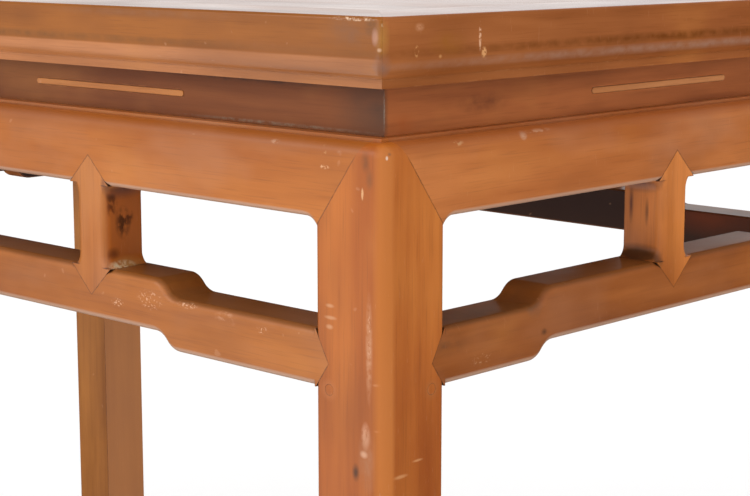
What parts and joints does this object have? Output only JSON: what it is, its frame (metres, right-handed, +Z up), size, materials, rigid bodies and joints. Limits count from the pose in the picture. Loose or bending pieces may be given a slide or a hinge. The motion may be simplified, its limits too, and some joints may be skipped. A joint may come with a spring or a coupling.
{
  "type": "waisted side table",
  "caption": "Long hardwood side table with a mitred panel top, recessed waist, aprons mitred to the legs, humpbacked stretchers with short struts, and hoof feet.",
  "frame": {"origin": "on the floor, under the middle of the table", "axes": "+X along the length, +Y towards the back, +Z up"},
  "size_m": [1.079, 0.641, 0.86],
  "materials": {
    "top_wood": "semi-gloss lacquer, worn",
    "panel_wood": "semi-gloss lacquer, worn",
    "hidden_wood": "raw, aged",
    "waist_wood": "dark satin lacquer",
    "inlay_wood": "satin lacquer",
    "plug_wood": "satin lacquer",
    "frame_wood": "semi-gloss lacquer, worn"
  },
  "bodies": {
    "root": {"apron_back": "frame_wood", "apron_front": "frame_wood", "apron_left": "frame_wood", "apron_right": "frame_wood", "batten_1": "hidden_wood", "batten_2": "hidden_wood", "batten_3": "hidden_wood", "inlay_back_left": "inlay_wood", "inlay_back_middle": "inlay_wood", "inlay_back_right": "inlay_wood", "inlay_front_left": "inlay_wood", "inlay_front_middle": "inlay_wood", "inlay_front_right": "inlay_wood", "inlay_left_middle": "inlay_wood", "inlay_right_middle": "inlay_wood", "leg_back_left": "frame_wood", "leg_back_right": "frame_wood", "leg_front_left": "frame_wood", "leg_front_right": "frame_wood", "plug_back_left": "plug_wood", "plug_back_right": "plug_wood", "plug_front_left": "plug_wood", "plug_front_right": "plug_wood", "plug_left_left": "plug_wood", "plug_left_right": "plug_wood", "plug_right_left": "plug_wood", "plug_right_right": "plug_wood", "stretcher_back": "frame_wood", "stretcher_front": "frame_wood", "stretcher_left": "frame_wood", "stretcher_right": "frame_wood", "strut_back_left": "frame_wood", "strut_back_middle": "frame_wood", "strut_back_right": "frame_wood", "strut_front_left": "frame_wood", "strut_front_middle": "frame_wood", "strut_front_right": "frame_wood", "strut_left_middle": "frame_wood", "strut_right_middle": "frame_wood", "top_board_1": "panel_wood", "top_board_2": "panel_wood", "top_board_3": "panel_wood", "top_end_left": "top_wood", "top_end_right": "top_wood", "top_rail_back": "top_wood", "top_rail_front": "top_wood", "waist_back": "waist_wood", "waist_front": "waist_wood", "waist_left": "waist_wood", "waist_right": "waist_wood"}
  },
  "joints": []
}
